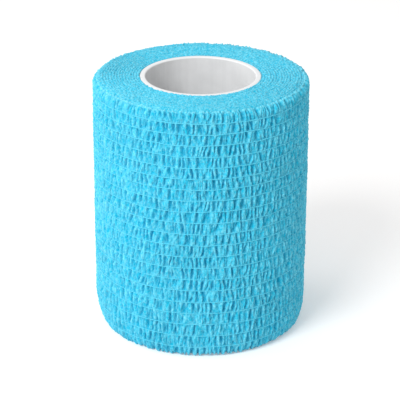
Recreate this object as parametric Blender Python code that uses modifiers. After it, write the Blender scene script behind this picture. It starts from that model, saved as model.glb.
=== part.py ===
"""A cohesive bandage wound on a plain white tube, standing on one end.

The origin is at the centre of the foot and +Z runs up the roll's axis.
"""

import math

import bpy

# Driving dimensions, in metres.
CLOTH_WIDTH = 0.0750  # the bandage's width, which is the roll's height
ROLL_RADIUS = 0.0311  # outside the last turn
TUBE_RADIUS = 0.01745  # outside the tube
TUBE_WALL = 0.00165
TUBE_EDGE = 0.0003  # rounding of the tube's cut edges
WINDING_GAP = 0.0003  # between the tube and the first turn

# The outer turns' edges lean in at both ends of the roll.
SHOULDER_IN = 0.0018  # how far in the top edge rolls over
SHOULDER_DOWN = 0.0022  # how far down that starts
FOOT_IN = 0.0030  # how far the foot tapers in
FOOT_UP = 0.0104  # how far up that starts

# Fineness of the turned shapes.
TURN_STEPS = 96
END_STEPS = 8  # straight runs in each quarter arc at the roll's ends
EDGE_STEPS = 3  # straight runs in each quarter arc at the tube's edges
MERGE_DISTANCE = 0.00001

# Colours as linear RGB with alpha, then roughness. Nothing here is metal.
BLUE_CLOTH = ((0.055, 0.420, 0.640, 1.0), 0.85)
WHITE_TUBE = ((0.820, 0.820, 0.830, 1.0), 0.45)


def clear_scene():
    for scene_object in list(bpy.data.objects):
        bpy.data.objects.remove(scene_object, do_unlink=True)


def quarter_arc(centre_x, centre_z, reach_x, reach_z, start, end, steps):
    """Points of an elliptical quarter arc in the XZ plane, its angles in degrees from +X."""
    points = []
    for step in range(steps + 1):
        angle = math.radians(start + (end - start) * step / steps)
        x = centre_x + reach_x * math.cos(angle)
        z = centre_z + reach_z * math.sin(angle)
        points.append((x, z))
    return points


def roll_outline():
    """The wound cloth's section: down its outer side, then up along the tube."""
    inner_radius = TUBE_RADIUS + WINDING_GAP
    shoulder = quarter_arc(
        ROLL_RADIUS - SHOULDER_IN, CLOTH_WIDTH - SHOULDER_DOWN, SHOULDER_IN, SHOULDER_DOWN, 90, 0, END_STEPS
    )
    foot = quarter_arc(ROLL_RADIUS - FOOT_IN, FOOT_UP, FOOT_IN, FOOT_UP, 0, -90, END_STEPS)
    return [(inner_radius, CLOTH_WIDTH)] + shoulder + foot + [(inner_radius, 0.0)]


def tube_outline():
    """The tube's section, with its four edges rounded."""
    inner_radius = TUBE_RADIUS - TUBE_WALL
    low, high = TUBE_EDGE, CLOTH_WIDTH - TUBE_EDGE
    near, far = inner_radius + TUBE_EDGE, TUBE_RADIUS - TUBE_EDGE
    corners = ((far, high, 90, 0), (far, low, 0, -90), (near, low, -90, -180), (near, high, -180, -270))
    outline = []
    for x, z, start, end in corners:
        outline += quarter_arc(x, z, TUBE_EDGE, TUBE_EDGE, start, end, EDGE_STEPS)
    return outline


def finish_material(name, colour, roughness):
    material = bpy.data.materials.new(name)
    material.use_nodes = True
    shader = material.node_tree.nodes["Principled BSDF"]
    shader.inputs["Base Color"].default_value = colour
    shader.inputs["Roughness"].default_value = roughness
    shader.inputs["Metallic"].default_value = 0.0
    return material


def turned_ring(name, outline, material, collection):
    """A closed outline in the XZ plane, turned once round the Z axis."""
    mesh = bpy.data.meshes.new(name)
    count = len(outline)
    vertices = [(x, 0.0, z) for x, z in outline]
    edges = [(index, (index + 1) % count) for index in range(count)]
    mesh.from_pydata(vertices, edges, [])
    ring = bpy.data.objects.new(name, mesh)
    ring.data.materials.append(material)
    collection.objects.link(ring)

    screw = ring.modifiers.new("Turn", "SCREW")
    screw.axis = "Z"
    screw.angle = math.tau
    screw.steps = TURN_STEPS
    screw.render_steps = TURN_STEPS
    screw.use_merge_vertices = True
    screw.merge_threshold = MERGE_DISTANCE
    screw.use_smooth_shade = True
    return ring


clear_scene()
roll_collection = bpy.data.collections.new("bandage_roll")
bpy.context.scene.collection.children.link(roll_collection)

turned_ring("wound_cloth", roll_outline(), finish_material("blue_crepe", *BLUE_CLOTH), roll_collection)
turned_ring("core_tube", tube_outline(), finish_material("white_tube", *WHITE_TUBE), roll_collection)
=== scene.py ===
# A cohesive bandage roll: crinkled blue nonwoven wound on a white tube.
# Sizes in the dictionaries are millimetres, angles are degrees, colours are sRGB hex.
import math

import bpy
from mathutils import Matrix, Vector


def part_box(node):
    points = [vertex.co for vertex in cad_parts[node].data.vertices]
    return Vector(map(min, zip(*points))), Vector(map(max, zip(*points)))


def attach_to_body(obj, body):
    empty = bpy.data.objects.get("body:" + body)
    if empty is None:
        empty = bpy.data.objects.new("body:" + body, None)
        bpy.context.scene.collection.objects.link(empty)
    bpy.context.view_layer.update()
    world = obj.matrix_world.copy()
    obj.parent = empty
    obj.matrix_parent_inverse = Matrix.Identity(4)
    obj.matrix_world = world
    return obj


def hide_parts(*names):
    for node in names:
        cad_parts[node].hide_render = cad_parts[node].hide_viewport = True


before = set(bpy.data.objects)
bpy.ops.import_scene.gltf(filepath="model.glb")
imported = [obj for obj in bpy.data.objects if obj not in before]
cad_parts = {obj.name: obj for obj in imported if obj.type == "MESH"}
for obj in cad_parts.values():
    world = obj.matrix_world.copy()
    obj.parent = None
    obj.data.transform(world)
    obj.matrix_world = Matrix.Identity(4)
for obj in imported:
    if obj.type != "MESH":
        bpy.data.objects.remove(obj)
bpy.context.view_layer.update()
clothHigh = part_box("wound_cloth")[1]
tubeLow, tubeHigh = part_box("core_tube")
mm = 0.001

roll = {
    "radius": clothHigh.x / mm,
    "height": clothHigh.z / mm,
    "bore": tubeHigh.x / mm + 0.05,  # the first turn lies on the tube
    "rows": 22,  # rows of gathers between the elastic threads
    "rowBow": 1.3,  # the lower rows are stretched a little taller
    "footIn": 3.0,
    "footUp": 10.4,
    "footShift": (0.25, -0.85),  # the foot sits a little off the roll's axis
    "shoulderIn": 1.8,
    "shoulderDown": 2.2,
    "rimAngle": 64.0,  # where the last turn's edge ends on the shoulder
    "seamAngle": 100.0,  # the cut end, at the back
    "seed": 3,
}
print("frame loaded:", sorted(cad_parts))


def linearColour(code):
    channels = [int(code[place:place + 2], 16) / 255 for place in (1, 3, 5)]
    return [c / 12.92 if c <= 0.04045 else ((c + 0.055) / 1.055) ** 2.4 for c in channels] + [1.0]


def addNode(tree, kind, *feeds, named=None, **settings):
    # feeds fill the node's sockets in order, and None leaves a socket alone;
    # a node given as a feed is read at its first output
    node = tree.nodes.new(kind)
    for setting, value in settings.items():
        setattr(node, setting, value)
    pairs = list(zip([socket for socket in node.inputs if socket.enabled], feeds))
    pairs += [(node.inputs[name], feed) for name, feed in (named or {}).items()]
    for socket, feed in pairs:
        if isinstance(feed, bpy.types.Node):
            feed = next(output for output in feed.outputs if output.enabled)
        if isinstance(feed, bpy.types.NodeSocket):
            tree.links.new(feed, socket)
        elif feed is not None:
            socket.default_value = feed
    return node


def makeTree(name, inputs, outputs):
    tree = bpy.data.node_groups.new(name, "GeometryNodeTree")
    for socketName, kind in inputs.items():
        tree.interface.new_socket(socketName, in_out="INPUT", socket_type="NodeSocket" + kind)
    for socketName, kind in outputs.items():
        tree.interface.new_socket(socketName, in_out="OUTPUT", socket_type="NodeSocket" + kind)
    source = tree.nodes.new("NodeGroupInput").outputs
    return tree, source


def growMesh(name, base, tree, values, material):
    # runs the tree on the base mesh with its named inputs set, and keeps the result as a mesh
    piece = bpy.data.objects.new(name, base)
    bpy.context.scene.collection.objects.link(piece)
    modifier = piece.modifiers.new(tree.name, "NODES")
    modifier.node_group = tree
    for item in tree.interface.items_tree:
        if item.in_out == "INPUT" and item.name in values:
            modifier[item.identifier] = values[item.name]
        elif item.in_out == "INPUT" and item.name == "Material":
            modifier[item.identifier] = material
    graph = bpy.context.evaluated_depsgraph_get()
    grown = bpy.data.meshes.new_from_object(piece.evaluated_get(graph))
    piece.modifiers.clear()
    piece.data = grown
    grown.name = name
    bpy.data.meshes.remove(base)
    print(name, len(grown.polygons), "faces")
    return piece


def attach(piece, slotName, *nodes):
    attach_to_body(piece, "root")
    if nodes:
        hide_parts(*nodes)
    return piece


arcSteps = 60  # steps in each of the outline's two quarter arcs


def outlineArcs():
    # the section's outer side from the foot up over the shoulder:
    # radius, height and the way out, in small steps
    radius, height = roll["radius"], roll["height"]
    points = []
    for step in range(arcSteps + 1):
        a = math.radians(90 * step / arcSteps)
        spot = (radius - roll["footIn"] * (1 - math.sin(a)), roll["footUp"] * (1 - math.cos(a)))
        points.append((*spot, math.sin(a) / roll["footIn"], -math.cos(a) / roll["footUp"]))
    for step in range(arcSteps + 1):
        a = math.radians(90 * step / arcSteps)
        spot = (radius - roll["shoulderIn"] * (1 - math.cos(a)),
                height - roll["shoulderDown"] * (1 - math.sin(a)))
        away = (math.cos(a) / roll["shoulderIn"], math.sin(a) / roll["shoulderDown"])
        points.append((*spot, *away))
    return points


def alongOutline(points):
    lengths = [0.0]
    for first, second in zip(points, points[1:]):
        lengths.append(lengths[-1] + math.dist(first[:2], second[:2]))
    return lengths


arcPoints = outlineArcs()
arcLengths = alongOutline(arcPoints)


def outlineAt(length):
    # (radius, height, outward radius, outward height) at a length along the outline
    last = len(arcLengths) - 1
    place = next((i for i in range(1, last) if arcLengths[i] >= length), last)
    span = arcLengths[place] - arcLengths[place - 1]
    part = (length - arcLengths[place - 1]) / span
    ends = zip(arcPoints[place - 1], arcPoints[place])
    r, z, outR, outZ = (a + (b - a) * part for a, b in ends)
    size = math.hypot(outR, outZ)
    return r, z, outR / size, outZ / size


def lengthAtHeight(height):
    low, high = 0.0, arcLengths[-1]
    for _ in range(40):  # halvings, far past the precision needed
        middle = (low + high) / 2
        low, high = (middle, high) if outlineAt(middle)[1] < height else (low, middle)
    return low


def rowLength(row):
    # how far up the outline elastic thread number row lies;
    # row 0 is the foot's edge and the last is the rim
    if row <= 0:
        return 0.0
    if row >= roll["rows"]:
        return arcLengths[arcSteps + 1 + round(arcSteps * roll["rimAngle"] / 90)]
    share = row / roll["rows"]
    return lengthAtHeight(roll["height"] * share + roll["rowBow"] * math.sin(math.pi * share))


rowLengths = [rowLength(row) for row in range(roll["rows"] + 1)]


def outlineMesh(name, points):
    # points: (radius, height, outward radius, outward height, pattern place, skin), where skin is
    # 1 on the surface that the tree shapes and 0 inside; the tree joins them up
    mesh = bpy.data.meshes.new(name)
    mesh.from_pydata([(p[0] * mm, 0.0, p[1] * mm) for p in points], [], [])
    outward = mesh.attributes.new("outward", "FLOAT_VECTOR", "POINT")
    ways = [value for p in points for value in (p[2], 0.0, p[3])]
    outward.data.foreach_set("vector", ways)
    spot = mesh.attributes.new("spot", "FLOAT_VECTOR", "POINT")
    marks = [value for p in points for value in (p[4], p[5], 0.0)]
    spot.data.foreach_set("vector", marks)
    return mesh


sway = {
    "liftWide": 0.35,  # how far whole rows wander up and down
    "liftFine": 0.16,
    "swell": 0.22,  # how far the roll is from round
    "liftWideGrain": 0.055,  # grains are noise scales for each mm round the roll
    "liftFineGrain": 0.30,
    "swellGrain": 0.045,
    "rowSpread": 9.0,  # noise distance from row to row, so that each wanders in its own way
    "footRows": 3.0,  # rows over which the foot's shift fades out
}


def swayTree():
    # shared by the cloth, the threads and the ends: the rows wander and the roll isn't quite round
    tree, source = makeTree("clothSway", {"Ring": "Vector", "Row": "Float", "Seed": "Int"},
                            {"Lift": "Float", "Swell": "Float"})
    axes = addNode(tree, "ShaderNodeSeparateXYZ", source["Ring"])
    level = addNode(tree, "ShaderNodeMath", source["Row"], sway["rowSpread"], source["Seed"],
                    operation="MULTIPLY_ADD")
    place = addNode(tree, "ShaderNodeCombineXYZ", axes.outputs[0], axes.outputs[1], level)
    parts = []
    for part in ("liftWide", "liftFine", "swell"):
        noise = addNode(tree, "ShaderNodeTexNoise", place, sway[part + "Grain"], 1.0)
        centred = addNode(tree, "ShaderNodeMath", noise, 0.5, operation="SUBTRACT")
        parts.append(addNode(tree, "ShaderNodeMath", centred, 2 * sway[part],
                             operation="MULTIPLY"))
    lift = addNode(tree, "ShaderNodeMath", parts[0], parts[1], operation="ADD")
    low = addNode(tree, "ShaderNodeMapRange", source["Row"], 0.0, sway["footRows"],
                  1 / roll["radius"], 0.0, interpolation_type="SMOOTHSTEP")
    footShift = addNode(tree, "ShaderNodeVectorMath", source["Ring"], (*roll["footShift"], 0.0),
                        operation="DOT_PRODUCT")
    swell = addNode(tree, "ShaderNodeMath", footShift.outputs["Value"], low, parts[2],
                    operation="MULTIPLY_ADD")
    addNode(tree, "NodeGroupOutput", lift, swell)
    return tree


swayGroup = swayTree()


def sampleOutline(tree, outline, place):
    # the outline's position and marks at a point number, as separate axes
    sampled = {}
    for name in ("position", "outward", "spot"):
        if name == "position":
            field = addNode(tree, "GeometryNodeInputPosition")
        else:
            field = addNode(tree, "GeometryNodeInputNamedAttribute", name,
                            data_type="FLOAT_VECTOR")
        sample = addNode(tree, "GeometryNodeSampleIndex", outline, field, place,
                         data_type="FLOAT_VECTOR", domain="POINT")
        sampled[name] = addNode(tree, "ShaderNodeSeparateXYZ", sample).outputs
    return sampled


def ringNodes(tree, source):
    # the grid that is turned into a closed ring, and what both ring trees need at its points
    size = addNode(tree, "GeometryNodeAttributeDomainSize", source["Outline"], component="MESH")
    across = addNode(tree, "ShaderNodeMath", source["Columns"], 2.0, operation="ADD")
    around = addNode(tree, "ShaderNodeMath", size, 1.0, operation="ADD")
    grid = addNode(tree, "GeometryNodeMeshGrid", 1.0, 1.0, across, around)
    index = addNode(tree, "GeometryNodeInputIndex")
    columnPlace = addNode(tree, "ShaderNodeMath", index, around, operation="DIVIDE")
    column = addNode(tree, "ShaderNodeMath", columnPlace, operation="FLOOR")
    row = addNode(tree, "ShaderNodeMath", index, around, operation="MODULO")
    wrap = addNode(tree, "ShaderNodeMath", source["Columns"], 1.0, operation="ADD")
    column = addNode(tree, "ShaderNodeMath", column, wrap, operation="MODULO")
    outlinePlace = addNode(tree, "ShaderNodeMath", row, size, operation="MODULO")
    share = addNode(tree, "ShaderNodeMath", column, source["Columns"], operation="DIVIDE")
    turn = addNode(tree, "ShaderNodeMath", share, math.tau, math.radians(roll["seamAngle"]),
                   operation="MULTIPLY_ADD")
    cosine = addNode(tree, "ShaderNodeMath", turn, operation="COSINE")
    sine = addNode(tree, "ShaderNodeMath", turn, operation="SINE")
    ring = addNode(tree, "ShaderNodeCombineXYZ", cosine, sine, 0.0)
    sampled = sampleOutline(tree, source["Outline"], outlinePlace)
    return grid, share, ring, sampled


leastHeight = 0.03  # the cloth stays this far clear of the surface that the roll stands on
mergeMetres = 0.000001  # joins only the seams' doubled points


def placeRing(tree, source, grid, ring, sampled, outBy, radialBy, liftBy, marks):
    # moves the grid's points to the ring, with offsets in mm, stores the marks, closes the seams
    position, outward, spot = sampled["position"], sampled["outward"], sampled["spot"]
    alongOut = addNode(tree, "ShaderNodeMath", outBy, outward["X"], radialBy,
                       operation="MULTIPLY_ADD")
    upOut = addNode(tree, "ShaderNodeMath", outBy, outward["Z"], liftBy,
                    operation="MULTIPLY_ADD")
    skin = addNode(tree, "ShaderNodeMath", spot["Y"], mm, operation="MULTIPLY")
    radius = addNode(tree, "ShaderNodeMath", alongOut, skin, position["X"],
                     operation="MULTIPLY_ADD")
    height = addNode(tree, "ShaderNodeMath", upOut, skin, position["Z"],
                     operation="MULTIPLY_ADD")
    height = addNode(tree, "ShaderNodeMath", height, leastHeight * mm, operation="MAXIMUM")
    flat = addNode(tree, "ShaderNodeVectorMath", ring, named={"Scale": radius}, operation="SCALE")
    up = addNode(tree, "ShaderNodeCombineXYZ", 0.0, 0.0, height)
    place = addNode(tree, "ShaderNodeVectorMath", flat, up, operation="ADD")
    for name, value in marks.items():
        grid = addNode(tree, "GeometryNodeStoreNamedAttribute", grid, None, name, value,
                       data_type="FLOAT", domain="POINT")
    moved = addNode(tree, "GeometryNodeSetPosition", grid, None, place)
    merged = addNode(tree, "GeometryNodeMergeByDistance", moved, named={"Distance": mergeMetres})
    smooth = addNode(tree, "GeometryNodeSetShadeSmooth", merged)
    real = addNode(tree, "GeometryNodeRealizeInstances", smooth)
    coloured = addNode(tree, "GeometryNodeSetMaterial", real, None, source["Material"])
    addNode(tree, "NodeGroupOutput", coloured)


# the gathered last turn: these are its tree's named inputs
gathers = {
    "Columns": 1440,
    "Spacing": 0.79,  # the folds' grain; a ridge and its valley take nearly twice this
    "Branch": 0.60,  # how readily ridges fork and end within a row
    "Minor": 0.45,  # share of smaller folds between the main ones
    "Ridge": 0.19,  # the folds' wave at a ridge's top
    "Valley": -0.30,  # and at a valley's floor
    "Depth": 1.25,  # of the deepest valleys
    "Shallow": 0.80,  # the shallowest valleys' share of that
    "Rim": 0.65,  # share of their depth left at the rim
    "Pinch": 0.62,  # how far they close at the threads
    "Puff": 0.20,  # how far a row bulges between its threads
    "Crease": 0.13,
    "Wrinkle": 0.42,
    "FootShade": 0.25,  # share of the lowest row darkened with the valleys' colour, a painted contact shadow along the foot
    "FrayAndRimHighlight": 0.45,  # how much whiter the cut edges are: loose fibres at the cut end, a painted highlight along the rim
    "Slant": 3.2,
    "Curl": 1.15,
    "Step": 0.75,  # thickness of the cut end
    "Seed": roll["seed"],
}
# and these shape its noises and curves
foldShape = {
    "rowJump": 23.7,  # noise distance from row to row, for the way the ridges lean and wander
    "leanGrain": 0.30,
    "curlGrain": 0.55,
    "curlRise": 1.8,
    "curlAside": 5.0,  # sets the wandering apart from the lean
    "foldJump": 0.85,  # noise distance from row to row for the folds themselves
    "closing": 2.4,  # how late folds begin to close towards a thread
    "patch": (0.31, 0.9, 1.0),  # deep and shallow patches are a few folds wide
    "rimRows": 0.25,  # rows over which the folds grow shallower at the rim
    "wrinkleGrain": 2.0,
    "wrinkleRise": 2.6,
    "arch": 0.6,  # below 1 makes a row's bulge flatter in its middle
    "cutEdgeRows": 0.12,  # rows of painted highlight along the rim
    "cutEndShare": 0.997,  # and where the loose fibres begin at the cut end, in turns
}
creases = {"grain": 1.15, "rise": 1.9, "detail": 2.0, "roughness": 0.55}
stepFade = 3.0  # how soon the turn below rises to meet the cut end
rowSteps = 9  # mesh rows between two threads
bands = {"clothFoot": (0, 6), "clothLower": (6, 11), "clothUpper": (11, 16),
         "clothShoulder": (16, 22)}


def creaseNodes(tree, circle, rowPlace):
    # soft creases that run on from row to row, through the threads
    axes = addNode(tree, "ShaderNodeSeparateXYZ", circle).outputs
    up = addNode(tree, "ShaderNodeMath", rowPlace, creases["rise"], operation="MULTIPLY")
    place = addNode(tree, "ShaderNodeCombineXYZ", axes["X"], axes["Y"], up)
    noise = addNode(tree, "ShaderNodeTexNoise", place, creases["grain"], creases["detail"],
                    creases["roughness"])
    centred = addNode(tree, "ShaderNodeMath", noise, 0.5, operation="SUBTRACT")
    return addNode(tree, "ShaderNodeMath", centred, 2.0, operation="MULTIPLY")


def stepNodes(tree, source, share):
    # how deep a point lies under the cut end, which stands proud of the turn below it;
    # that turn rises to meet it a little further round
    fade = addNode(tree, "ShaderNodeMath", 1.0, share, operation="SUBTRACT")
    fade = addNode(tree, "ShaderNodeMath", fade, stepFade, operation="POWER")
    return addNode(tree, "ShaderNodeMath", fade, source["Step"], operation="MULTIPLY")


def gatheredClothTree():
    sizes = {name: "Int" if name in ("Columns", "Seed") else "Float" for name in gathers}
    inputs = {"Outline": "Geometry", **sizes, "Material": "Material"}
    tree, source = makeTree("gatheredCloth", inputs, {"Geometry": "Geometry"})
    grid, share, ring, sampled = ringNodes(tree, source)
    rowPlace = sampled["spot"]["X"]
    row = addNode(tree, "ShaderNodeMath", rowPlace, operation="FLOOR")
    rowPart = addNode(tree, "ShaderNodeMath", rowPlace, operation="FRACT")
    circle = addNode(tree, "ShaderNodeVectorMath", ring, named={"Scale": roll["radius"]},
                     operation="SCALE")
    swayNode = addNode(tree, "GeometryNodeGroup", node_tree=swayGroup,
                       named={"Ring": circle, "Row": rowPlace, "Seed": source["Seed"]})

    # ridges lean and wander, each row in its own way
    rowJump = addNode(tree, "ShaderNodeMath", row, foldShape["rowJump"], source["Seed"],
                      operation="MULTIPLY_ADD")
    rowPoint = addNode(tree, "ShaderNodeCombineXYZ", 0.0, 0.0, rowJump)
    leanPlace = addNode(tree, "ShaderNodeVectorMath", circle, rowPoint, operation="ADD")
    lean = addNode(tree, "ShaderNodeTexNoise", leanPlace, foldShape["leanGrain"], 1.0)
    lean = addNode(tree, "ShaderNodeMath", lean, 0.5, operation="SUBTRACT")
    halfPart = addNode(tree, "ShaderNodeMath", rowPart, 0.5, operation="SUBTRACT")
    lean = addNode(tree, "ShaderNodeMath", lean, halfPart, operation="MULTIPLY")
    lean = addNode(tree, "ShaderNodeMath", lean, source["Slant"], operation="MULTIPLY")
    curlJump = addNode(tree, "ShaderNodeMath", rowPart, foldShape["curlRise"], rowJump,
                       operation="MULTIPLY_ADD")
    curlPoint = addNode(tree, "ShaderNodeCombineXYZ", foldShape["curlAside"], 0.0, curlJump)
    curlPlace = addNode(tree, "ShaderNodeVectorMath", circle, curlPoint, operation="ADD")
    curl = addNode(tree, "ShaderNodeTexNoise", curlPlace, foldShape["curlGrain"], 1.0)
    curl = addNode(tree, "ShaderNodeMath", curl, 0.5, operation="SUBTRACT")
    length = addNode(tree, "ShaderNodeMath", share, math.tau * roll["radius"], lean,
                     operation="MULTIPLY_ADD")
    length = addNode(tree, "ShaderNodeMath", curl, source["Curl"], length,
                     operation="MULTIPLY_ADD")

    # folds: rounded ridges with narrow valleys between them, which fork and end within a row;
    # taking one noise from another beside it keeps them evenly wide
    foldAcross = addNode(tree, "ShaderNodeMath", length, source["Spacing"], operation="DIVIDE")
    foldJump = addNode(tree, "ShaderNodeMath", row, foldShape["foldJump"], source["Seed"],
                       operation="MULTIPLY_ADD")
    foldUp = addNode(tree, "ShaderNodeMath", rowPart, source["Branch"], foldJump,
                     operation="MULTIPLY_ADD")
    foldPlace = addNode(tree, "ShaderNodeCombineXYZ", foldAcross, foldUp, 0.0)
    sides = []
    for shift in (0.5, -0.5):
        beside = addNode(tree, "ShaderNodeVectorMath", foldPlace, (shift, 0.0, 0.0),
                         operation="ADD")
        sides.append(addNode(tree, "ShaderNodeTexNoise", beside, 1.0, 1.0, source["Minor"]))
    folds = addNode(tree, "ShaderNodeMath", sides[0], sides[1], operation="SUBTRACT")

    # they close towards the threads, but not at the cloth's own two edges
    fromMiddle = addNode(tree, "ShaderNodeMath", rowPart, 2.0, -1.0, operation="MULTIPLY_ADD")
    fromMiddle = addNode(tree, "ShaderNodeMath", fromMiddle, 2.0, operation="POWER")
    closing = addNode(tree, "ShaderNodeMath", fromMiddle, foldShape["closing"],
                      operation="POWER")
    free = addNode(tree, "ShaderNodeMath", rowPlace, roll["rows"] / 2, operation="SUBTRACT")
    free = addNode(tree, "ShaderNodeMath", free, operation="ABSOLUTE")
    held = addNode(tree, "ShaderNodeMath", free, roll["rows"] / 2 - 0.5, operation="LESS_THAN")
    closing = addNode(tree, "ShaderNodeMath", closing, held, operation="MULTIPLY")
    closed = addNode(tree, "ShaderNodeMath", closing, source["Pinch"], operation="MULTIPLY")
    span = addNode(tree, "ShaderNodeMath", 1.0, closed, operation="SUBTRACT", use_clamp=True)
    depth = addNode(tree, "ShaderNodeMapRange", folds, source["Ridge"], source["Valley"],
                    0.0, 1.0, interpolation_type="SMOOTHSTEP")
    depth = addNode(tree, "ShaderNodeMath", depth, span, operation="MULTIPLY")
    patchPlace = addNode(tree, "ShaderNodeVectorMath", foldPlace, foldShape["patch"],
                         operation="MULTIPLY")
    patch = addNode(tree, "ShaderNodeTexNoise", patchPlace, 1.0, 1.0)
    patch = addNode(tree, "ShaderNodeMapRange", patch, 0.3, 0.7, source["Shallow"], 1.0)
    depth = addNode(tree, "ShaderNodeMath", depth, patch, operation="MULTIPLY")
    lastRow = addNode(tree, "ShaderNodeMapRange", rowPlace, roll["rows"] - foldShape["rimRows"],
                      roll["rows"], 1.0, source["Rim"], interpolation_type="SMOOTHSTEP")
    depth = addNode(tree, "ShaderNodeMath", depth, lastRow, operation="MULTIPLY")

    # creases and fine wrinkles over the folds
    crease = creaseNodes(tree, circle, rowPlace)
    circleAxes = addNode(tree, "ShaderNodeSeparateXYZ", circle).outputs
    wrinkleUp = addNode(tree, "ShaderNodeMath", rowPlace, foldShape["wrinkleRise"],
                        operation="MULTIPLY")
    wrinklePlace = addNode(tree, "ShaderNodeCombineXYZ", circleAxes["X"], circleAxes["Y"],
                           wrinkleUp)
    wrinkle = addNode(tree, "ShaderNodeTexNoise", wrinklePlace, foldShape["wrinkleGrain"], 1.0)
    wrinkle = addNode(tree, "ShaderNodeMath", wrinkle, 0.5, operation="SUBTRACT")
    wrinkle = addNode(tree, "ShaderNodeMath", wrinkle, span, operation="MULTIPLY")
    wrinkle = addNode(tree, "ShaderNodeMath", wrinkle, 2.0, operation="MULTIPLY")

    # each row bulges between its threads
    arch = addNode(tree, "ShaderNodeMath", rowPart, math.pi, operation="MULTIPLY")
    arch = addNode(tree, "ShaderNodeMath", arch, operation="SINE")
    arch = addNode(tree, "ShaderNodeMath", arch, 0.0, operation="MAXIMUM")
    arch = addNode(tree, "ShaderNodeMath", arch, foldShape["arch"], operation="POWER")
    bulge = addNode(tree, "ShaderNodeMath", arch, source["Puff"], operation="MULTIPLY")
    bulge = addNode(tree, "ShaderNodeMath", crease, source["Crease"], bulge,
                    operation="MULTIPLY_ADD")
    bulge = addNode(tree, "ShaderNodeMath", wrinkle, source["Wrinkle"], bulge,
                    operation="MULTIPLY_ADD")
    sink = addNode(tree, "ShaderNodeMath", depth, source["Depth"], operation="MULTIPLY")
    outBy = addNode(tree, "ShaderNodeMath", bulge, sink, operation="SUBTRACT")
    fade = stepNodes(tree, source, share)
    radialBy = addNode(tree, "ShaderNodeMath", swayNode.outputs["Swell"], fade,
                       operation="SUBTRACT")

    # marks for the material: painted highlight where raised or along the rim, whiter loose fibres
    # at the cut end, and painted shade where deep
    raised = addNode(tree, "ShaderNodeMath", crease, wrinkle, operation="ADD")
    raised = addNode(tree, "ShaderNodeMath", raised, 0.5, 0.5, operation="MULTIPLY_ADD",
                     use_clamp=True)
    # the rim's cut edge gets a painted highlight; the cut end gets its whiter loose fibres
    cutEdge = addNode(tree, "ShaderNodeMapRange", rowPlace,
                      roll["rows"] - foldShape["cutEdgeRows"], roll["rows"], 0.0,
                      source["FrayAndRimHighlight"])
    cutEnd = addNode(tree, "ShaderNodeMapRange", share, foldShape["cutEndShare"], 1.0, 0.0,
                     source["FrayAndRimHighlight"])
    raised = addNode(tree, "ShaderNodeMath", raised, cutEdge, operation="ADD")
    raised = addNode(tree, "ShaderNodeMath", raised, cutEnd, operation="ADD")
    # painted contact shadow: the lowest part of the foot row takes the valleys' painted shade
    footShade = addNode(tree, "ShaderNodeMapRange", rowPlace, 0.0, source["FootShade"], 1.0, 0.0)
    low = addNode(tree, "ShaderNodeMath", depth, footShade, operation="ADD")
    placeRing(tree, source, grid, ring, sampled, outBy, radialBy, swayNode.outputs["Lift"],
              {"pitShade": low, "crease": raised})
    return tree


hem = 0.03  # a band's edge turns in over this length, so that its shading stays under the thread
hemRow = 0.01  # that length's place in the rows' pattern
rimLip = ((0.12, -0.12), (0.28, -0.14), (0.42, -0.02), (0.54, 0.30), (0.58, 1.40))  # in, down
rimBack = 2.0  # how far below the rim the shoulder band's hidden top meets the tube
footOpen = 2.0  # height of the hollow under the foot band, where the wound end shows
footWall = 0.6  # the foot band's thickness there


def bandOutline(firstRow, lastRow):
    points = []
    for row in range(firstRow, lastRow):
        for step in range(rowSteps):
            part = step / rowSteps
            length = rowLengths[row] * (1 - part) + rowLengths[row + 1] * part
            points.append((*outlineAt(length), row + part, 1.0))
            if step == 0 and row == firstRow > 0:
                points.append((*outlineAt(length + hem), row + hemRow, 1.0))
    r, z, outR, outZ = outlineAt(rowLengths[lastRow])
    if lastRow < roll["rows"]:
        points.append((*outlineAt(rowLengths[lastRow] - hem), float(lastRow), 1.0))
    points.append((r, z, outR, outZ, float(lastRow), 1.0))
    if lastRow == roll["rows"]:
        # the last turn's edge: rounded, then down between it and the turn below
        for inward, down in rimLip:
            points.append((r - inward, z - down, outR, outZ, float(lastRow), 1.0))
        z -= rimBack
    points.append((roll["bore"], z, 1.0, 0.0, float(lastRow), 0.0))
    r, z, outR, outZ = outlineAt(rowLengths[firstRow])
    if firstRow == 0:
        points.append((roll["bore"], z + footOpen, 1.0, 0.0, 0.0, 0.0))
        points.append((r - footWall, z + footOpen, outR, outZ, 0.0, 0.0))
    else:
        points.append((roll["bore"], z, 1.0, 0.0, float(firstRow), 0.0))
    return points


# the wound ends: these are their tree's named inputs
woundEnds = {
    "Columns": 1080,
    "Turn": 0.80,  # one turn's thickness
    "Bead": 0.34,  # how far an edge rounds over between its neighbours
    "Stagger": 0.45,  # how much whole turns differ in height
    "Crimp": 0.62,  # how the gathers lift and drop the cut edge
    "Weave": 0.60,  # how far the gathers push a turn sideways, in turns
    "Fray": 0.45,  # fibres and latex crumbs at the cut
    "Row": float(roll["rows"]),
    "Seed": roll["seed"],
}
footEnd = {**woundEnds, "Columns": 540, "Row": 0.0}
# and these shape its noises and curves
edgeShape = {
    "weaveGrain": 0.95,
    "turnJump": 31.7,  # noise distance from turn to turn
    "staggerGrain": 0.10,
    "crimpGrain": 1.3,
    "frayGrain": 2.6,
    "bead": 0.55,  # below 1 makes an edge's round flatter on top
    "pitShade": -1.6,  # how fast the painted shade grows as an edge sinks
    "raised": 1.2,  # and its painted highlight as an edge is crimped up
}
endShape = {
    "topSteps": 78,
    "behindRim": 0.45,  # how far behind the rim the top end starts
    "proud": 0.08,
    "rimDrop": 0.4,  # how far it dips towards the rim, so that the last turn's edge stands clear
    "rimDropWidth": 1.6,
    "topDepth": 5.0,  # how far down its hidden walls go
    "underSteps": 48,
    "underLevel": 0.45,  # the edges reach down from here to the surface
    "underReach": 0.05,
    "underDepth": 4.0,
}


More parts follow.
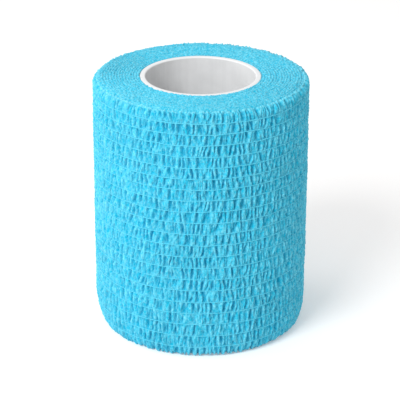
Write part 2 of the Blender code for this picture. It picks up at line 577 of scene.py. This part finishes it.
def woundEndTree():
    sizes = {name: "Int" if name in ("Columns", "Seed") else "Float" for name in woundEnds}
    inputs = {"Outline": "Geometry", **sizes, "Material": "Material"}
    tree, source = makeTree("woundEnd", inputs, {"Geometry": "Geometry"})
    grid, share, ring, sampled = ringNodes(tree, source)
    reach = sampled["spot"]["X"]
    circle = addNode(tree, "ShaderNodeVectorMath", ring, named={"Scale": reach},
                     operation="SCALE")
    swayNode = addNode(tree, "GeometryNodeGroup", node_tree=swayGroup,
                       named={"Ring": circle, "Row": source["Row"], "Seed": source["Seed"]})
    fromTube = addNode(tree, "ShaderNodeMapRange", reach, roll["bore"], roll["radius"], 0.0, 1.0)
    swell = addNode(tree, "ShaderNodeMath", swayNode.outputs["Swell"], fromTube,
                    operation="MULTIPLY")

    # the gathers push each turn from side to side
    seedPoint = addNode(tree, "ShaderNodeCombineXYZ", 0.0, 0.0, source["Seed"])
    weavePlace = addNode(tree, "ShaderNodeVectorMath", circle, seedPoint, operation="ADD")
    weave = addNode(tree, "ShaderNodeTexNoise", weavePlace, edgeShape["weaveGrain"], 2.0, 0.6)
    weave = addNode(tree, "ShaderNodeMath", weave, 0.5, operation="SUBTRACT")
    weave = addNode(tree, "ShaderNodeMath", weave, 2.0, operation="MULTIPLY")
    weave = addNode(tree, "ShaderNodeMath", weave, source["Weave"], share,
                    operation="MULTIPLY_ADD")
    turns = addNode(tree, "ShaderNodeMath", reach, source["Turn"], operation="DIVIDE")
    turns = addNode(tree, "ShaderNodeMath", turns, weave, operation="ADD")
    number = addNode(tree, "ShaderNodeMath", turns, operation="FLOOR")
    part = addNode(tree, "ShaderNodeMath", turns, operation="FRACT")

    # each turn's edge has its own height and its own crimps
    strip = addNode(tree, "ShaderNodeMath", number, share, operation="SUBTRACT")
    strip = addNode(tree, "ShaderNodeMath", strip, edgeShape["turnJump"], source["Seed"],
                    operation="MULTIPLY_ADD")
    stripPoint = addNode(tree, "ShaderNodeCombineXYZ", 0.0, 0.0, strip)
    stripPlace = addNode(tree, "ShaderNodeVectorMath", circle, stripPoint, operation="ADD")
    stagger = addNode(tree, "ShaderNodeTexNoise", stripPlace, edgeShape["staggerGrain"], 1.0)
    stagger = addNode(tree, "ShaderNodeMath", stagger, 0.5, operation="SUBTRACT")
    stagger = addNode(tree, "ShaderNodeMath", stagger, source["Stagger"], operation="MULTIPLY")
    crimp = addNode(tree, "ShaderNodeTexNoise", stripPlace, edgeShape["crimpGrain"], 1.0)
    crimp = addNode(tree, "ShaderNodeMath", crimp, 0.5, operation="SUBTRACT")
    fray = addNode(tree, "ShaderNodeTexNoise", weavePlace, edgeShape["frayGrain"], 1.0)
    fray = addNode(tree, "ShaderNodeMath", fray, 0.5, operation="SUBTRACT")
    bead = addNode(tree, "ShaderNodeMath", part, math.pi, operation="MULTIPLY")
    bead = addNode(tree, "ShaderNodeMath", bead, operation="SINE")
    bead = addNode(tree, "ShaderNodeMath", bead, 0.0, operation="MAXIMUM")
    bead = addNode(tree, "ShaderNodeMath", bead, edgeShape["bead"], operation="POWER")
    outBy = addNode(tree, "ShaderNodeMath", bead, 1.0, operation="SUBTRACT")
    outBy = addNode(tree, "ShaderNodeMath", outBy, source["Bead"], stagger,
                    operation="MULTIPLY_ADD")
    outBy = addNode(tree, "ShaderNodeMath", crimp, source["Crimp"], outBy,
                    operation="MULTIPLY_ADD")
    outBy = addNode(tree, "ShaderNodeMath", fray, source["Fray"], outBy,
                    operation="MULTIPLY_ADD")
    # painted shade where an edge sinks, painted highlight where it is crimped up or frayed
    low = addNode(tree, "ShaderNodeMath", outBy, edgeShape["pitShade"], operation="MULTIPLY",
                  use_clamp=True)
    raised = addNode(tree, "ShaderNodeMath", crimp, fray, operation="ADD")
    raised = addNode(tree, "ShaderNodeMath", raised, edgeShape["raised"], 0.5,
                     operation="MULTIPLY_ADD", use_clamp=True)
    placeRing(tree, source, grid, ring, sampled, outBy, swell, 0.0,
              {"pitShade": low, "crease": raised})
    return tree


def topOutline():
    # from the gap behind the last turn up onto the end, in to the tube and back down
    edge = outlineAt(rowLengths[-1])[0] - endShape["behindRim"]
    depth = roll["height"] - endShape["topDepth"]
    points = [(edge, depth, 0.0, 1.0, edge, 0.0)]
    for step in range(endShape["topSteps"] + 1):
        r = edge + (roll["bore"] - edge) * step / endShape["topSteps"]
        inShoulder = max(0.0, (r - roll["radius"] + roll["shoulderIn"]) / roll["shoulderIn"])
        rounding = roll["shoulderDown"] * (1 - math.sqrt(1 - inShoulder ** 2))
        nearRim = max(0.0, 1 - (edge - r) / endShape["rimDropWidth"]) ** 2
        z = roll["height"] - rounding + endShape["proud"] - endShape["rimDrop"] * nearRim
        points.append((r, z, 0.0, 1.0, r, 1.0))
    points.append((roll["bore"], depth, 0.0, 1.0, roll["bore"], 0.0))
    return points


def underOutline():
    # the same for the end that the roll stands on, from the tube out to the foot's edge
    edge = roll["radius"] - roll["footIn"] + endShape["underReach"]
    depth = endShape["underDepth"]
    points = [(roll["bore"], depth, 0.0, -1.0, roll["bore"], 0.0)]
    for step in range(endShape["underSteps"] + 1):
        r = roll["bore"] + (edge - roll["bore"]) * step / endShape["underSteps"]
        points.append((r, endShape["underLevel"], 0.0, -1.0, r, 1.0))
    points.append((edge, depth, 0.0, -1.0, edge, 0.0))
    return points


threads = {
    "Thickness": 0.20,
    "Steps": 480,
    "Sides": 4,
    "Proud": 0.10,
    "Crease": gathers["Crease"],
    "Step": gathers["Step"],
    "Seed": roll["seed"],
}


def elasticThreadsTree():
    sizes = {name: "Int" if name in ("Steps", "Sides", "Seed") else "Float" for name in threads}
    inputs = {"Rows": "Geometry", **sizes, "Material": "Material"}
    tree, source = makeTree("elasticThreads", inputs, {"Geometry": "Geometry"})
    circle = addNode(tree, "GeometryNodeCurvePrimitiveCircle", source["Steps"], mode="RADIUS",
                     named={"Radius": 1.0})
    number = addNode(tree, "GeometryNodeInputIndex")
    marked = addNode(tree, "GeometryNodeStoreNamedAttribute", source["Rows"], None, "number",
                     number, data_type="FLOAT", domain="POINT")
    points = addNode(tree, "GeometryNodeMeshToPoints", marked)
    copies = addNode(tree, "GeometryNodeInstanceOnPoints", points, None, circle)
    rings = addNode(tree, "GeometryNodeRealizeInstances", copies)
    which = addNode(tree, "GeometryNodeInputNamedAttribute", "number", data_type="FLOAT")
    sampled = sampleOutline(tree, source["Rows"], which)
    rowPlace = sampled["spot"]["X"]
    position, outward = sampled["position"], sampled["outward"]
    centre = addNode(tree, "ShaderNodeCombineXYZ", position["X"], 0.0, position["Z"])
    here = addNode(tree, "GeometryNodeInputPosition")
    away = addNode(tree, "ShaderNodeVectorMath", here, centre, operation="SUBTRACT")
    flat = addNode(tree, "ShaderNodeVectorMath", away, (1.0, 1.0, 0.0), operation="MULTIPLY")
    ring = addNode(tree, "ShaderNodeVectorMath", flat, operation="NORMALIZE")
    circlePlace = addNode(tree, "ShaderNodeVectorMath", ring, named={"Scale": roll["radius"]},
                          operation="SCALE")
    swayNode = addNode(tree, "GeometryNodeGroup", node_tree=swayGroup,
                       named={"Ring": circlePlace, "Row": rowPlace, "Seed": source["Seed"]})

    # each thread steps down at the cut end as the cloth does
    ringAxes = addNode(tree, "ShaderNodeSeparateXYZ", ring).outputs
    turn = addNode(tree, "ShaderNodeMath", ringAxes["Y"], ringAxes["X"], operation="ARCTAN2")
    turn = addNode(tree, "ShaderNodeMath", turn, math.radians(roll["seamAngle"]),
                   operation="SUBTRACT")
    turn = addNode(tree, "ShaderNodeMath", turn, math.tau, operation="DIVIDE")
    share = addNode(tree, "ShaderNodeMath", turn, 1.0, operation="FLOORED_MODULO")
    fade = stepNodes(tree, source, share)

    crease = creaseNodes(tree, circlePlace, rowPlace)
    outBy = addNode(tree, "ShaderNodeMath", crease, source["Crease"], source["Proud"],
                    operation="MULTIPLY_ADD")
    radial = addNode(tree, "ShaderNodeMath", swayNode.outputs["Swell"], fade,
                     operation="SUBTRACT")
    radial = addNode(tree, "ShaderNodeMath", outBy, outward["X"], radial,
                     operation="MULTIPLY_ADD")
    radial = addNode(tree, "ShaderNodeMath", radial, mm, position["X"],
                     operation="MULTIPLY_ADD")
    rise = addNode(tree, "ShaderNodeMath", outBy, outward["Z"], swayNode.outputs["Lift"],
                   operation="MULTIPLY_ADD")
    rise = addNode(tree, "ShaderNodeMath", rise, mm, position["Z"], operation="MULTIPLY_ADD")
    flatPlace = addNode(tree, "ShaderNodeVectorMath", ring, named={"Scale": radial},
                        operation="SCALE")
    upPlace = addNode(tree, "ShaderNodeCombineXYZ", 0.0, 0.0, rise)
    place = addNode(tree, "ShaderNodeVectorMath", flatPlace, upPlace, operation="ADD")
    moved = addNode(tree, "GeometryNodeSetPosition", rings, None, place)
    radius = addNode(tree, "ShaderNodeMath", source["Thickness"], 0.5 * mm,
                     operation="MULTIPLY")
    section = addNode(tree, "GeometryNodeCurvePrimitiveCircle", source["Sides"], mode="RADIUS",
                      named={"Radius": radius})
    strands = addNode(tree, "GeometryNodeCurveToMesh", moved, section)
    smooth = addNode(tree, "GeometryNodeSetShadeSmooth", strands)
    real = addNode(tree, "GeometryNodeRealizeInstances", smooth)
    coloured = addNode(tree, "GeometryNodeSetMaterial", real, None, source["Material"])
    addNode(tree, "NodeGroupOutput", coloured)
    return tree


def newMaterial(name):
    material = bpy.data.materials.new(name)
    material.use_nodes = True
    material.node_tree.nodes.clear()
    return material, material.node_tree


crepe = {
    # ridge colour: a painted highlight on the raised folds and the rim, and the whiter loose
    # fibres at the cut end
    "ridgeHighlightAndFray": "#6ECFE4",
    "body": "#0CB3D4",
    # pit colour: painted shade in the valleys, and a painted contact shadow along the foot
    "pitShade": "#009CC0",
    "mottle": 0.5,  # patches that take more or less latex
    "cloud": 14.0,  # slow drift of the colour
    "fibre": 0.32,  # tangled fibres in the bump; real ones are finer than shows
    "crumb": 0.42,  # latex crumbs and fibre knots, drawn about twice their real size to show
}


def crepeNonwovenMaterial():
    # latex-bonded polyester nonwoven, crinkled by its elastic:
    # matt, with a painted highlight where it stands proud and painted shade in the valleys
    material, tree = newMaterial("crepeNonwoven")
    place = addNode(tree, "ShaderNodeTexCoord").outputs["Object"]
    pitShade = addNode(tree, "ShaderNodeAttribute", attribute_name="pitShade")
    crease = addNode(tree, "ShaderNodeAttribute", attribute_name="crease")
    perMm = 1 / mm
    mottle = addNode(tree, "ShaderNodeTexNoise",
                     named={"Vector": place, "Scale": perMm / crepe["mottle"], "Detail": 3.0})
    cloud = addNode(tree, "ShaderNodeTexNoise",
                    named={"Vector": place, "Scale": perMm / crepe["cloud"], "Detail": 2.0})
    crumbs = addNode(tree, "ShaderNodeTexNoise",
                     named={"Vector": place, "Scale": perMm / crepe["crumb"], "Detail": 2.0,
                            "Roughness": 0.6})
    fibres = addNode(tree, "ShaderNodeTexNoise",
                     named={"Vector": place, "Scale": perMm / crepe["fibre"], "Detail": 3.0,
                            "Roughness": 0.65})
    # painted highlight: the raised mark moves the colour towards the ridge colour
    raised = addNode(tree, "ShaderNodeMath", crease.outputs["Fac"], mottle, operation="ADD")
    raised = addNode(tree, "ShaderNodeMapRange", raised, 0.75, 1.35, 0.0, 1.0)
    skin = addNode(tree, "ShaderNodeMix", raised, linearColour(crepe["body"]),
                   linearColour(crepe["ridgeHighlightAndFray"]), data_type="RGBA")
    # painted shade: the deep mark moves the colour towards the pit colour
    deep = addNode(tree, "ShaderNodeMapRange", pitShade.outputs["Fac"], 0.15, 0.95, 0.0, 0.85)
    colour = addNode(tree, "ShaderNodeMix", deep, skin, linearColour(crepe["pitShade"]),
                     data_type="RGBA")
    shade = addNode(tree, "ShaderNodeMapRange", cloud, 0.3, 0.7, 0.95, 1.05)
    speckle = addNode(tree, "ShaderNodeMapRange", crumbs, 0.3, 0.7, 0.91, 1.07)
    shade = addNode(tree, "ShaderNodeMath", shade, speckle, operation="MULTIPLY")
    colour = addNode(tree, "ShaderNodeHueSaturation", named={"Value": shade, "Color": colour})
    fine = addNode(tree, "ShaderNodeBump",
                   named={"Height": fibres, "Strength": 0.6, "Distance": 0.10 * mm})
    bump = addNode(tree, "ShaderNodeBump",
                   named={"Height": crumbs, "Strength": 0.65, "Distance": 0.22 * mm,
                          "Normal": fine})
    shader = addNode(tree, "ShaderNodeBsdfPrincipled",
                     named={"Base Color": colour, "Normal": bump, "Roughness": 0.56,
                            "IOR": 1.50, "Specular IOR Level": 0.09, "Sheen Weight": 0.12,
                            "Sheen Roughness": 0.6})
    addNode(tree, "ShaderNodeOutputMaterial", shader)
    return material


elastic = {"dark": "#4ACAE4", "light": "#68D4EA", "twist": 0.8}


def elasticThreadMaterial():
    # covered elastane yarn under the same blue latex: lighter than the cloth
    material, tree = newMaterial("elasticThread")
    place = addNode(tree, "ShaderNodeTexCoord").outputs["Object"]
    twist = addNode(tree, "ShaderNodeTexNoise",
                    named={"Vector": place, "Scale": 1 / mm / elastic["twist"], "Detail": 2.0})
    colour = addNode(tree, "ShaderNodeMix", twist, linearColour(elastic["dark"]),
                     linearColour(elastic["light"]), data_type="RGBA")
    bump = addNode(tree, "ShaderNodeBump",
                   named={"Height": twist, "Strength": 0.3, "Distance": 0.06 * mm})
    shader = addNode(tree, "ShaderNodeBsdfPrincipled",
                     named={"Base Color": colour, "Normal": bump, "Roughness": 0.7, "IOR": 1.48,
                            "Specular IOR Level": 0.2, "Sheen Weight": 0.1,
                            "Sheen Roughness": 0.5})
    addNode(tree, "ShaderNodeOutputMaterial", shader)
    return material


polypropylene = {
    "dark": "#CFD0D1",
    "light": "#DADBDC",
    "rimHighlight": "#E2E3E4",
    "rimFrom": 0.4,  # the painted highlight on the cut rim starts this far inside its end
    "rimFull": 0.1,
    "cloud": 6.0,
    "line": 0.9,  # draw lines' width; they run along the tube
    "lineStretch": 0.04,
}


def extrudedPolypropyleneMaterial():
    # extruded white polypropylene: satin, with very faint cloudiness and draw lines,
    # and a painted highlight at its cut rims
    material, tree = newMaterial("extrudedPolypropylene")
    place = addNode(tree, "ShaderNodeTexCoord").outputs["Object"]
    cloud = addNode(tree, "ShaderNodeTexNoise",
                    named={"Vector": place, "Scale": 1 / mm / polypropylene["cloud"],
                           "Detail": 3.0})
    stretch = addNode(tree, "ShaderNodeMapping",
                      named={"Vector": place, "Scale": (1.0, 1.0, polypropylene["lineStretch"])})
    lines = addNode(tree, "ShaderNodeTexNoise",
                    named={"Vector": stretch, "Scale": 1 / mm / polypropylene["line"],
                           "Detail": 3.0})
    streaks = addNode(tree, "ShaderNodeMath", lines, 0.4, cloud, operation="MULTIPLY_ADD")
    streaks = addNode(tree, "ShaderNodeMapRange", streaks, 0.45, 0.95, 0.0, 1.0)
    colour = addNode(tree, "ShaderNodeMix", streaks, linearColour(polypropylene["dark"]),
                     linearColour(polypropylene["light"]), data_type="RGBA")
    middle = tubeHigh.z / 2
    height = addNode(tree, "ShaderNodeSeparateXYZ", place).outputs["Z"]
    fromMiddle = addNode(tree, "ShaderNodeMath", height, middle, operation="SUBTRACT")
    fromMiddle = addNode(tree, "ShaderNodeMath", fromMiddle, operation="ABSOLUTE")
    # painted highlight: the rims are made whiter near both ends
    rimHighlight = addNode(tree, "ShaderNodeMapRange", fromMiddle, middle - polypropylene["rimFrom"] * mm,
                  middle - polypropylene["rimFull"] * mm, 0.0, 1.0)
    colour = addNode(tree, "ShaderNodeMix", rimHighlight, colour, linearColour(polypropylene["rimHighlight"]),
                     data_type="RGBA")
    bump = addNode(tree, "ShaderNodeBump",
                   named={"Height": lines, "Strength": 0.18, "Distance": 0.02 * mm})
    shader = addNode(tree, "ShaderNodeBsdfPrincipled",
                     named={"Base Color": colour, "Normal": bump, "Roughness": 0.42,
                            "IOR": 1.49})
    addNode(tree, "ShaderNodeOutputMaterial", shader)
    return material


tube = {"wall": 1.65, "edge": 0.35, "sides": 256, "edgeSteps": 5, "merge": 0.01}


def makeTube(material):
    outer, low, high = tubeHigh.x / mm, tubeLow.z / mm, tubeHigh.z / mm
    inner, edge = outer - tube["wall"], tube["edge"]
    corners = ((outer - edge, high - edge, 90), (outer - edge, low + edge, 0),
               (inner + edge, low + edge, -90), (inner + edge, high - edge, -180))
    points = []
    for x, z, start in corners:
        for step in range(tube["edgeSteps"] + 1):
            a = math.radians(start - 90 * step / tube["edgeSteps"])
            points.append(((x + edge * math.cos(a)) * mm, 0.0, (z + edge * math.sin(a)) * mm))
    mesh = bpy.data.meshes.new("coreTube")
    mesh.from_pydata(points, [(i, (i + 1) % len(points)) for i in range(len(points))], [])
    piece = bpy.data.objects.new("coreTube", mesh)
    bpy.context.scene.collection.objects.link(piece)
    screw = piece.modifiers.new("turned", "SCREW")
    screw.steps = screw.render_steps = tube["sides"]
    screw.use_merge_vertices = True
    screw.merge_threshold = tube["merge"] * mm
    graph = bpy.context.evaluated_depsgraph_get()
    piece.data = bpy.data.meshes.new_from_object(piece.evaluated_get(graph))
    piece.modifiers.clear()
    piece.data.shade_smooth()
    piece.data.materials.clear()
    piece.data.materials.append(material)
    return piece


view = {"distance": 540.0, "elevation": 23.2, "aim": 36.1, "lens": 165.0, "sensor": 36.0,
        "roll": 0.24}


def placeCamera():
    data = bpy.data.cameras.new("camera")
    data.lens = view["lens"]
    data.sensor_width = view["sensor"]
    data.clip_start, data.clip_end = 0.05, 20.0  # metres
    camera = bpy.data.objects.new("camera", data)
    bpy.context.scene.collection.objects.link(camera)
    up = math.radians(view["elevation"])
    away = Vector((0.0, -math.cos(up), math.sin(up)))
    camera.location = Vector((0.0, 0.0, view["aim"] * mm)) + away * view["distance"] * mm
    turned = (-away).to_track_quat("-Z", "Y").to_matrix().to_4x4()
    rolled = turned @ Matrix.Rotation(math.radians(view["roll"]), 4, "Z")
    camera.rotation_euler = rolled.to_euler()
    bpy.context.scene.camera = camera


# around is the angle from the front towards the left; distance and size are metres
lights = {
    "key": {"around": 36.0, "up": 41.0, "distance": 0.60, "size": 0.30, "power": 2.5},
    "side": {"around": 112.0, "up": 26.0, "distance": 1.10, "size": 0.90, "power": 3.5},
}
studio = {
    "aim": 0.03,  # height that the lights face, metres
    "sky": 0.66,
    "floorHalf": 3.0,  # metres
    "floor": "#F1EFEE",
    "floorGlow": 0.21,
}


def placeLights():
    for name, light in lights.items():
        data = bpy.data.lights.new(name, "AREA")
        data.shape = "DISK"
        data.size = light["size"]
        data.energy = light["power"]
        lamp = bpy.data.objects.new(name, data)
        bpy.context.scene.collection.objects.link(lamp)
        around, up = math.radians(light["around"]), math.radians(light["up"])
        away = Vector((-math.sin(around) * math.cos(up), -math.cos(around) * math.cos(up),
                       math.sin(up)))
        lamp.location = away * light["distance"] + Vector((0.0, 0.0, studio["aim"]))
        lamp.rotation_euler = away.to_track_quat("Z", "Y").to_euler()
    world = bpy.data.worlds.new("studio")
    world.use_nodes = True
    background = world.node_tree.nodes["Background"]
    background.inputs["Color"].default_value = linearColour("#FFFFFF")
    background.inputs["Strength"].default_value = studio["sky"]
    bpy.context.scene.world = world


def placeFloor():
    half = studio["floorHalf"]
    corners = [(-half, -half, 0), (half, -half, 0), (half, half, 0), (-half, half, 0)]
    mesh = bpy.data.meshes.new("studioFloor")
    mesh.from_pydata(corners, [], [(0, 1, 2, 3)])
    material, tree = newMaterial("whitePaper")
    shader = addNode(tree, "ShaderNodeBsdfPrincipled",
                     named={"Base Color": linearColour(studio["floor"]), "Roughness": 0.9,
                            "Specular IOR Level": 0.1,
                            "Emission Color": linearColour("#FFFFFF"),
                            "Emission Strength": studio["floorGlow"]})
    addNode(tree, "ShaderNodeOutputMaterial", shader)
    mesh.materials.append(material)
    floor = bpy.data.objects.new("studioFloor", mesh)
    bpy.context.scene.collection.objects.link(floor)


crepeMaterial = crepeNonwovenMaterial()
threadMaterial = elasticThreadMaterial()
tubeMaterial = extrudedPolypropyleneMaterial()

placeCamera()
placeLights()
placeFloor()
print("camera, light and floor placed")

gatheredCloth = gatheredClothTree()
for bandName, (firstRow, lastRow) in bands.items():
    base = outlineMesh(bandName + "Outline", bandOutline(firstRow, lastRow))
    attach(growMesh(bandName, base, gatheredCloth, gathers, crepeMaterial), "blue_crepe",
           "wound_cloth")

woundEnd = woundEndTree()
base = outlineMesh("clothEndTopOutline", topOutline())
attach(growMesh("clothEndTop", base, woundEnd, woundEnds, crepeMaterial), "blue_crepe",
       "wound_cloth")
base = outlineMesh("clothEndFootOutline", underOutline())
attach(growMesh("clothEndFoot", base, woundEnd, footEnd, crepeMaterial), "blue_crepe",
       "wound_cloth")

threadRows = [(*outlineAt(rowLengths[row]), float(row), 1.0) for row in range(1, roll["rows"])]
base = outlineMesh("elasticThreadsOutline", threadRows)
attach(growMesh("elasticThreads", base, elasticThreadsTree(), threads, threadMaterial),
       "blue_crepe")

attach(makeTube(tubeMaterial), "white_tube", "core_tube")
print("tube made")

bpy.context.scene.view_settings.view_transform = "Standard"
bpy.context.scene.view_settings.look = "None"
